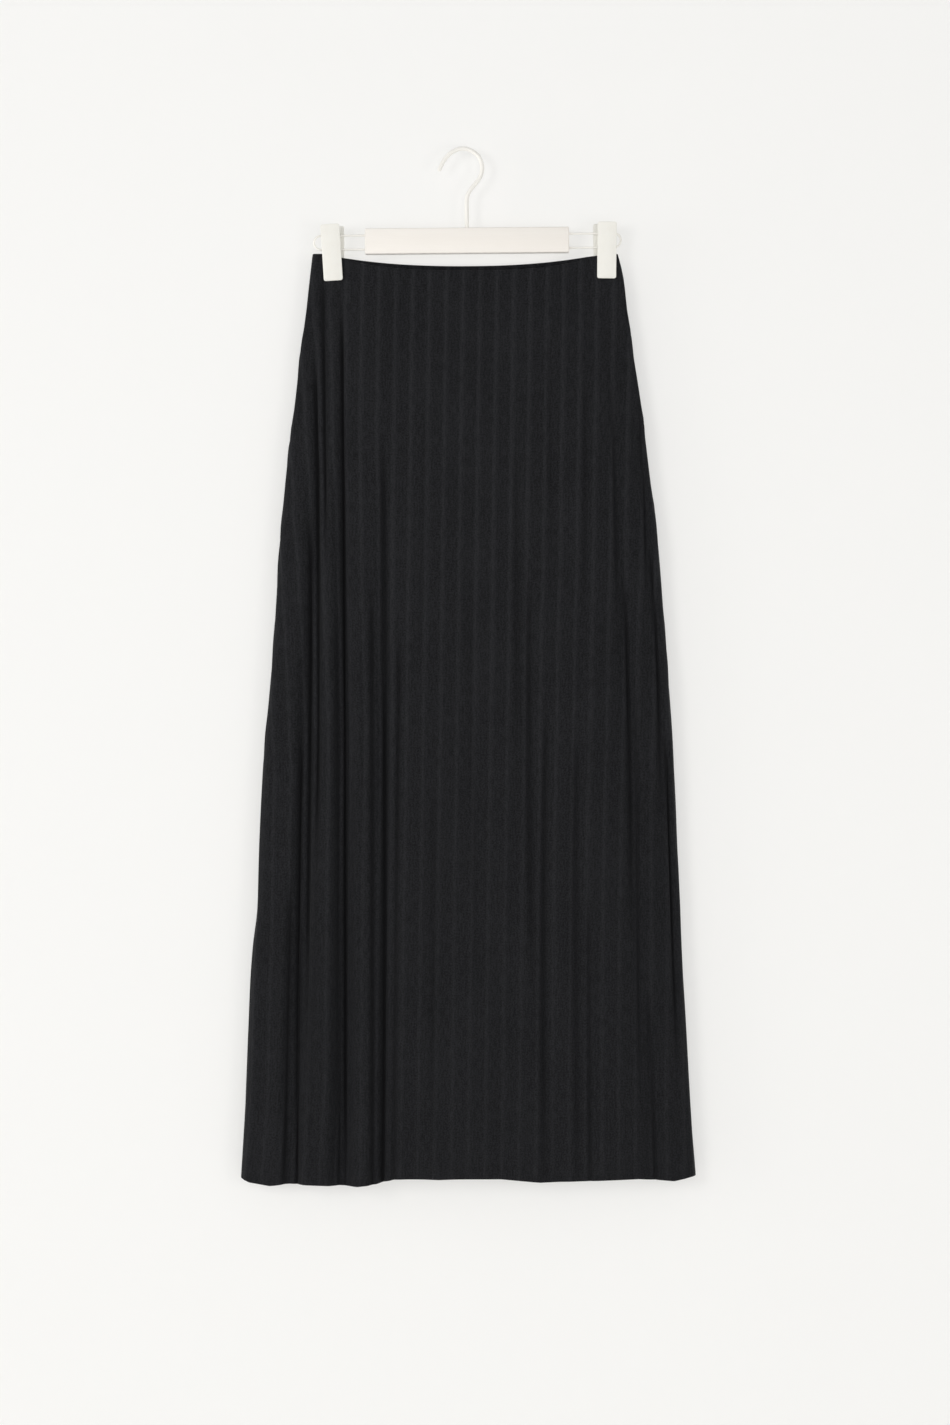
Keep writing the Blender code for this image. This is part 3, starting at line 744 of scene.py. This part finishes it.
def make_knit_group():
    inputs = [
        ("Cloth", "NodeSocketVector", None),
        ("Rib Pitch", "NodeSocketFloat", RIB_PITCH),
        ("Rib Width", "NodeSocketFloat", RIB_WIDTH),
        ("Wale", "NodeSocketFloat", RIB_PITCH / WALES_PER_RIB),
        ("Course", "NodeSocketFloat", COURSE_HEIGHT),
    ]
    tree, given, made = new_group("rib_knit", inputs, ("Rib", "Tone", "Height"))
    cloth = add_node(tree, "ShaderNodeSeparateXYZ", {"Vector": given["Cloth"]}).outputs

    turns = math_node(tree, "DIVIDE", cloth["X"], given["Rib Pitch"])
    from_rib = math_node(tree, "MULTIPLY", math_node(tree, "PINGPONG", turns, 0.5), given["Rib Pitch"])
    half_rib = math_node(tree, "MULTIPLY", given["Rib Width"], 0.5)
    rib = ramp(tree, math_node(tree, "DIVIDE", from_rib, half_rib), *RIB_EDGE, 1.0, 0.0)

    wale_turns = math_node(tree, "DIVIDE", cloth["X"], given["Wale"])
    wale_wave = math_node(tree, "SINE", math_node(tree, "MULTIPLY", wale_turns, math.pi))
    wale = math_node(tree, "ABSOLUTE", wale_wave)
    course_turns = math_node(tree, "DIVIDE", cloth["Y"], given["Course"])
    course_angle = math_node(tree, "MULTIPLY", course_turns, 2 * math.pi)
    lifted = math_node(tree, "MULTIPLY_ADD", wale, LOOP_LIFT, course_angle)
    course_wave = math_node(tree, "SINE", lifted)
    course = math_node(tree, "MULTIPLY_ADD", course_wave, COURSE_SWING, COURSE_MIDDLE)
    loops = math_node(tree, "MULTIPLY", wale, course)

    streak = noise(tree, stretch(tree, given["Cloth"], STREAK_SCALE), 1.0)
    grain = noise(tree, stretch(tree, given["Cloth"], GRAIN_SCALE), 1.0, 3.0, 0.75)
    patch = noise(tree, given["Cloth"], PATCH_SCALE)
    tone = math_node(tree, "MULTIPLY", streak, STREAK_SHARE)
    tone = math_node(tree, "MULTIPLY_ADD", grain, GRAIN_SHARE, tone)
    tone = math_node(tree, "MULTIPLY_ADD", patch, PATCH_SHARE, tone)
    tree.links.new(rib, made["Rib"])
    tree.links.new(tone, made["Tone"])
    tree.links.new(loops, made["Height"])
    return tree


knit_group = make_knit_group()

# %% Cloth material
CLOTH_DARK = (0.0046, 0.0049, 0.0058, 1)
CLOTH_LIGHT = (0.0235, 0.0240, 0.0270, 1)
TONE_SPAN = (0.385, 0.615)
TONE_FADE = 0.16
TONE_SHARE = 0.62
# How much lighter the rib crests are: partly the yarn's own tone, partly a painted highlight.
RIB_TONE_AND_HIGHLIGHT = 0.26
RIB_FADE = (-0.95, -0.25)
RIB_AT_HEM = 0.55
# The painted shade deep in the creases: the darkest colour and how far the cloth goes towards it.
CREASE_PAINTED_SHADE = (0.0012, 0.0013, 0.0017, 1)
CREASE_SHADE_SHARE = 0.80
SEAM_DARK = (0.0024, 0.0024, 0.0028, 1)
SEAM_GROOVE = 0.0011
GROOVE_HEIGHT = -3.0
PUCKER_LENGTH = 0.0027
PUCKER_REACH = 0.0040
LOOP_HEIGHT = 0.00024
KNIT_RELIEF = 0.6


def make_cloth_finish():
    material, tree, shader = new_material(
        "ribbed_cloth_finish",
        Roughness=0.86,
        Specular_IOR_Level=0.14,
        Sheen_Weight=0.05,
        Sheen_Roughness=0.40,
        Sheen_Tint=(0.80, 0.82, 0.88, 1),
    )
    cloth = add_node(tree, "ShaderNodeUVMap", uv_map="cloth").outputs["UV"]
    knit = place_group(tree, knit_group, Cloth=cloth)
    height_on_cloth = add_node(tree, "ShaderNodeSeparateXYZ", {"Vector": cloth}).outputs["Y"]
    clearness = ramp(tree, height_on_cloth, *RIB_FADE, RIB_AT_HEM, 1.0)
    # The rib crests are painted lighter, partly the yarn's tone and partly a painted highlight, fading
    # towards the hem.
    rib = math_node(tree, "MULTIPLY", math_node(tree, "MULTIPLY", knit["Rib"], RIB_TONE_AND_HIGHLIGHT), clearness)
    faded = (1 - TONE_FADE) * TONE_SHARE
    fade = math_node(tree, "MULTIPLY_ADD", clearness, TONE_FADE * TONE_SHARE, faded)
    tone = math_node(tree, "MULTIPLY_ADD", ramp(tree, knit["Tone"], *TONE_SPAN), fade, rib)
    colour = blend_colours(tree, tone, CLOTH_DARK, CLOTH_LIGHT)
    # Painted shade: the deeper a vertex lies in a crease, the darker the cloth's colour is made.
    tuck = add_node(tree, "ShaderNodeAttribute", attribute_name="tuck").outputs["Fac"]
    colour = blend_colours(tree, math_node(tree, "MULTIPLY", tuck, CREASE_SHADE_SHARE), colour, CREASE_PAINTED_SHADE)
    seam = add_node(tree, "ShaderNodeAttribute", attribute_name="to_seam").outputs["Fac"]
    groove = ramp(tree, seam, 0.0, SEAM_GROOVE, 1.0, 0.0)
    colour = blend_colours(tree, groove, colour, SEAM_DARK)
    tree.links.new(colour, shader.inputs["Base Color"])
    stitches = math_node(tree, "MULTIPLY", height_on_cloth, 2 * math.pi / PUCKER_LENGTH)
    by_seam = ramp(tree, seam, 0.0, PUCKER_REACH, 1.0, 0.0)
    pucker = math_node(tree, "MULTIPLY", math_node(tree, "SINE", stitches), by_seam)
    height = math_node(tree, "MULTIPLY_ADD", groove, GROOVE_HEIGHT, knit["Height"])
    height = math_node(tree, "ADD", height, pucker)
    add_relief(tree, shader, height, LOOP_HEIGHT, KNIT_RELIEF)
    return material


cloth_finish = make_cloth_finish()

# %% The panels in place
make_panel(FRONT, cloth_finish)
make_panel(BACK, cloth_finish)

# %% [markdown]
# ## The hanger's finishes
# The bar is wood under satin cream paint, the clips are cream plastic, and the hook and the rails
# are steel wire under cream enamel. All three are nearly one colour, so what tells them apart is
# the surface: long brush marks on the bar, a fine moulded grain on the clips, and runs along the
# wire. One shared group draws such marks, stretched in its own way for each.

# %% Fine marks group
COARSER = 9.0
SPECKS_FINER = 1.7
SPECK_SPAN = (0.72, 0.80)
COARSE_SHARE = 0.6
COARSE_LIFT = 0.5


def make_marks_group():
    inputs = [
        ("Place", "NodeSocketVector", None),
        ("Stretch", "NodeSocketVector", (1, 1, 1)),
        ("Fineness", "NodeSocketFloat", 400.0),
    ]
    tree, given, made = new_group("fine_marks", inputs, ("Tone", "Speck", "Height"))
    place = stretch(tree, given["Place"], given["Stretch"])
    marks = noise(tree, place, given["Fineness"], 3.0, 0.6)
    coarse = noise(tree, place, math_node(tree, "DIVIDE", given["Fineness"], COARSER), 2.0)
    speck_scale = math_node(tree, "MULTIPLY", given["Fineness"], SPECKS_FINER)
    specks = noise(tree, given["Place"], speck_scale, 1.0)
    fine_tone = math_node(tree, "MULTIPLY", marks, 1 - COARSE_SHARE)
    tone = math_node(tree, "MULTIPLY_ADD", coarse, COARSE_SHARE, fine_tone)
    tree.links.new(tone, made["Tone"])
    tree.links.new(ramp(tree, specks, *SPECK_SPAN), made["Speck"])
    tree.links.new(math_node(tree, "MULTIPLY_ADD", coarse, COARSE_LIFT, marks), made["Height"])
    return tree


marks_group = make_marks_group()

# %% Hard finishes
SHADE_SPAN = (0.35, 0.65)
DULL_SPAN = (0.30, 0.70)
SPECK_COLOUR = (0.45, 0.40, 0.33, 1)
SPECK_SHARE = 0.12
MARKS_RELIEF = 0.5


def make_hard_finish(name, light, shade, dull, stretch_by, fineness, relief, **constants):
    """A pale coated finish. dull is the roughness at its smoothest and at its dullest."""
    material, tree, shader = new_material(name, **constants)
    place = object_place(tree)
    marks = place_group(tree, marks_group, Place=place, Stretch=stretch_by, Fineness=fineness)
    colour = blend_colours(tree, ramp(tree, marks["Tone"], *SHADE_SPAN), shade, light)
    speck = math_node(tree, "MULTIPLY", marks["Speck"], SPECK_SHARE)
    colour = blend_colours(tree, speck, colour, SPECK_COLOUR)
    tree.links.new(colour, shader.inputs["Base Color"])
    tree.links.new(ramp(tree, marks["Tone"], *DULL_SPAN, *dull), shader.inputs["Roughness"])
    add_relief(tree, shader, marks["Height"], relief, MARKS_RELIEF)
    return material


paint_finish = make_hard_finish(
    "painted_wood", (0.892, 0.856, 0.806, 1), (0.876, 0.836, 0.782, 1), (0.40, 0.52),
    (0.05, 1.0, 1.0), 900.0, 0.00010, Coat_Weight=0.12, Coat_Roughness=0.30,
)
plastic_finish = make_hard_finish(
    "moulded_plastic", (0.844, 0.836, 0.786, 1), (0.828, 0.816, 0.762, 1), (0.34, 0.46),
    (1.0, 1.0, 0.6), 1100.0, 0.00005, Specular_IOR_Level=0.45,
)
enamel_finish = make_hard_finish(
    "enamelled_wire", (0.905, 0.890, 0.845, 1), (0.885, 0.868, 0.820, 1), (0.42, 0.54),
    (1.0, 1.0, 0.4), 700.0, 0.00004, Coat_Weight=0.12, Coat_Roughness=0.30,
)
print("finishes:", len(bpy.data.materials))

# %% [markdown]
# ## Hook and rails
# Hook and rails are bent from wire. A wire is one circle, drawn out along its route: each step
# extrudes the open ring and moves it to the next place. The matrix of a place holds the circle's
# turn and its size too, so the hook's blunt tip is only a few places with a smaller circle. The
# hanger hangs a little off level, and every part of it is turned by the same angle at the end.

# %% Hanger sizes
HANGER_TILT = math.radians(-0.5)
BAR_LENGTH = 0.2150
BAR_HEIGHT = 0.0270
BAR_THICKNESS = 0.0120
BAR_X = 0.0040
BAR_Z = -0.0952
HOOK_WIRE = 0.0045
HOOK_SOCKET = 0.0150
HOOK_STEPS = 6
HOOK_LINE = [
    (-0.0243, -0.0195),
    (-0.0212, -0.0130),
    (-0.0170, -0.0068),
    (-0.0112, -0.0018),
    (-0.0038, 0.0016),
    (0.0040, 0.0019),
    (0.0113, -0.0014),
    (0.0172, -0.0068),
    (0.0202, -0.0142),
    (0.0204, -0.0220),
    (0.0176, -0.0292),
    (0.0128, -0.0356),
    (0.0078, -0.0418),
    (0.0047, -0.0484),
    (BAR_X, -0.0560),
]
RAIL_WIRE = 0.0022
RAIL_SPACING = 0.0149
RAIL_Z = -0.0960
RAIL_SOCKET = 0.0150
RAIL_BEND_PLACES = 24
hanger_turn = Matrix.Rotation(HANGER_TILT, 4, "Y")


# %% Wire routes
def smooth_line(points, steps):
    """A Catmull-Rom curve through the points, with so many steps between two of them."""
    before = 2 * points[0] - points[1]
    after = 2 * points[-1] - points[-2]
    whole = [before] + points + [after]
    made = []
    for a, b, c, d in zip(whole, whole[1:], whole[2:], whole[3:]):
        for t in np.arange(steps) / steps:
            straight = 2 * b + (c - a) * t
            bent = (2 * a - 5 * b + 4 * c - d) * t**2
            twisted = (3 * b - a - 3 * c + d) * t**3
            made.append((straight + bent + twisted) / 2)
    return made + [points[-1]]


def hook_route():
    """From the hook's tip, over the crest, round the bend and down the shaft into the bar."""
    places = smooth_line([Vector((x, 0, z)) for x, z in HOOK_LINE], HOOK_STEPS)
    return places + [Vector((BAR_X, 0, BAR_Z + BAR_HEIGHT / 2 - HOOK_SOCKET))]


def rail_route(end_x, outward):
    """Out of the bar along the upper rail, round the end and back along the lower one."""
    radius = RAIL_SPACING / 2
    socket_x = BAR_X + outward * (BAR_LENGTH / 2 - RAIL_SOCKET)
    centre_x = end_x - outward * (RAIL_WIRE / 2 + radius)
    places = [Vector((socket_x, 0, RAIL_Z + radius))]
    for angle in np.linspace(math.pi / 2, -math.pi / 2, RAIL_BEND_PLACES):
        x = centre_x + outward * radius * math.cos(angle)
        places.append(Vector((x, 0, RAIL_Z + radius * math.sin(angle))))
    places.append(Vector((socket_x, 0, RAIL_Z - radius)))
    return places


# %% Drawing a wire
WIRE_SIDES = 20
TIP_STEPS = 5
TIP_FLAT = 0.3
WIRE_SHARP = math.radians(50)
Station = namedtuple("Station", "place heading radius")


def stations_along(places, radius):
    last = len(places) - 1
    made = []
    for number, place in enumerate(places):
        heading = places[min(number + 1, last)] - places[max(number - 1, 0)]
        made.append(Station(place, heading.normalized(), radius))
    return made


def blunt_tip(first, radius):
    """Stations that close a wire's start with a half ball."""
    made = []
    for step in range(TIP_STEPS):
        angle = math.pi / 2 * (1 - (step + TIP_FLAT) / TIP_STEPS)
        place = first.place - first.heading * radius * math.sin(angle)
        made.append(Station(place, first.heading, radius * math.cos(angle)))
    return made


def station_matrix(station):
    """Takes a unit circle to its place across the wire, which lies in the plane of X and Z."""
    across = Vector((0, 1, 0)).cross(station.heading)
    turn = Matrix((across, (0, 1, 0), station.heading)).transposed().to_4x4()
    return Matrix.Translation(station.place) @ turn @ Matrix.Scale(station.radius, 4)


def make_wire(name, node, places, diameter, tip):
    radius = diameter / 2
    stations = stations_along(places, radius)
    if tip:
        stations = blunt_tip(stations[0], radius) + stations
    matrices = [station_matrix(station) for station in stations]
    mesh = bmesh.new()
    bmesh.ops.create_circle(mesh, cap_ends=True, segments=WIRE_SIDES, radius=1, matrix=matrices[0])
    ring = mesh.edges[:]
    for before, after in zip(matrices, matrices[1:]):
        drawn = bmesh.ops.extrude_edge_only(mesh, edges=ring)["geom"]
        corners = [item for item in drawn if isinstance(item, bmesh.types.BMVert)]
        ring = [item for item in drawn if isinstance(item, bmesh.types.BMEdge) and item.is_boundary]
        bmesh.ops.transform(mesh, matrix=after @ before.inverted(), verts=corners)
    bmesh.ops.holes_fill(mesh, edges=ring, sides=0)
    finish_hard_piece(name, node, mesh, enamel_finish, WIRE_SHARP)


def finish_hard_piece(name, node, mesh, finish, sharp_angle):
    """Turns a piece with the hanger, shades it, and puts it in its CAD node's place."""
    bmesh.ops.transform(mesh, matrix=hanger_turn, verts=mesh.verts[:])
    bmesh.ops.recalc_face_normals(mesh, faces=mesh.faces[:])
    data = mesh_data(name, mesh)
    data.shade_smooth()
    data.set_sharp_from_angle(angle=sharp_angle)
    piece = link_object(name, data, finish)
    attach(piece, "root")
    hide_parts(node)
    print(name, len(data.polygons), "faces")


# %% Hook and rails in place
RAILS = (("left", -1, -0.1585), ("right", 1, 0.1672))
make_wire("hook_wire", "hanger_hook", hook_route(), HOOK_WIRE, tip=True)
for side_name, outward, rail_end in RAILS:
    route = rail_route(rail_end, outward)
    make_wire(f"rail_{side_name}_wire", f"rail_{side_name}", route, RAIL_WIRE, tip=False)

# %% [markdown]
# ## The bar
# The bar is a planed wooden lath with softly broken edges, so it is a box with its edges
# bevelled. The paint rounds the edges further, which a few segments show as a fine light line.

# %% Bar
BAR_EDGE = 0.0014
BAR_SHARP = math.radians(60)


def make_bar():
    mesh = bmesh.new()
    bmesh.ops.create_cube(mesh, size=1)
    bmesh.ops.scale(mesh, vec=(BAR_LENGTH, BAR_THICKNESS, BAR_HEIGHT), verts=mesh.verts[:])
    bmesh.ops.bevel(
        mesh, geom=mesh.edges[:], offset=BAR_EDGE, offset_type="OFFSET", segments=4, profile=0.5,
        affect="EDGES", material=-1,
    )
    bmesh.ops.translate(mesh, vec=(BAR_X, 0, BAR_Z), verts=mesh.verts[:])
    finish_hard_piece("bar_lath", "hanger_bar", mesh, paint_finish, BAR_SHARP)


make_bar()

# %% [markdown]
# ## The clips
# Each clip is two plates that close on the cloth at their lower end and spread a little above it.
# A plate is one side outline, drawn out to the clip's width. The four short edges through its
# thickness get the larger rounding that shows from the front, and its rims a fine one. The plain
# block between the plates, which slides on the rails, stays as the CAD model has it.

# %% Clips
SEAM_GAP = 0.0003
WALL = 0.0015
FIT_GAP = 0.0003
CLIP_HEIGHT = 0.0590
CLIP_WIDTH = 0.0200
CLIP_Z = -0.1069
CLIP_JAW = 0.0205
CLIP_FLARE = 0.0052
CLIP_JAW_THICKNESS = 0.0031
CLIP_GRIP_THICKNESS = 0.0036
CLIP_CORNER = 0.0022
CLIP_RIM = 0.0005
CLIP_END = 0.00001
RIM_ANGLE = math.radians(40)
CLIP_SHARP = math.radians(35)
ClipPlan = namedtuple("ClipPlan", "side x back_shift lean")
CLIPS = [
    ClipPlan("left", -0.1387, 0.0030, math.radians(-3.1)),
    ClipPlan("right", 0.1511, -0.0038, math.radians(1.0)),
]


def plate_outline(facing):
    """The plate seen from the side: up its inner face, and down its outer one."""
    bottom = -CLIP_HEIGHT / 2
    top = CLIP_HEIGHT / 2
    closed = SEAM_GAP / 2 + WALL + RIB_RISE + FIT_GAP
    spread = closed + CLIP_FLARE
    inner = [(closed, bottom), (closed, bottom + CLIP_JAW), (spread, top)]
    outer = [
        (spread + CLIP_GRIP_THICKNESS, top),
        (closed + CLIP_GRIP_THICKNESS, bottom + CLIP_JAW),
        (closed + CLIP_JAW_THICKNESS, bottom),
    ]
    return [(facing * y, z) for y, z in inner + outer]


def make_plate(clip, face, facing, shift, lean):
    mesh = bmesh.new()
    corners = [mesh.verts.new((-CLIP_WIDTH / 2, y, z)) for y, z in plate_outline(facing)]
    outline = mesh.faces.new(corners)
    drawn = bmesh.ops.extrude_face_region(mesh, geom=[outline], use_keep_orig=True)["geom"]
    moved = [item for item in drawn if isinstance(item, bmesh.types.BMVert)]
    bmesh.ops.translate(mesh, verts=moved, vec=(CLIP_WIDTH, 0, 0))
    bmesh.ops.recalc_face_normals(mesh, faces=mesh.faces[:])
    through = []
    for edge in mesh.edges:
        run = edge.verts[1].co - edge.verts[0].co
        at_end = min(abs(corner.co.z) for corner in edge.verts) > CLIP_HEIGHT / 2 - CLIP_END
        if at_end and abs(run.y) > abs(run.x):
            through.append(edge)
    bmesh.ops.bevel(
        mesh, geom=through, offset=CLIP_CORNER, offset_type="OFFSET", segments=6, profile=0.5,
        affect="EDGES", material=-1,
    )
    rims = [edge for edge in mesh.edges if edge.calc_face_angle(0) > RIM_ANGLE]
    bmesh.ops.bevel(
        mesh, geom=rims, offset=CLIP_RIM, offset_type="OFFSET", segments=3, profile=0.5,
        affect="EDGES", material=-1,
    )
    place = Matrix.Translation((clip.x + shift, 0, CLIP_Z)) @ Matrix.Rotation(lean, 4, "Y")
    bmesh.ops.transform(mesh, matrix=place, verts=mesh.verts[:])
    node = f"clip_{clip.side}_{face}"
    finish_hard_piece(f"{node}_plate", node, mesh, plastic_finish, CLIP_SHARP)


for clip in CLIPS:
    make_plate(clip, "front", -1, 0, clip.lean)
    make_plate(clip, "back", 1, clip.back_shift, 0)
    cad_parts[f"clip_{clip.side}_core"].material_slots[0].material = plastic_finish
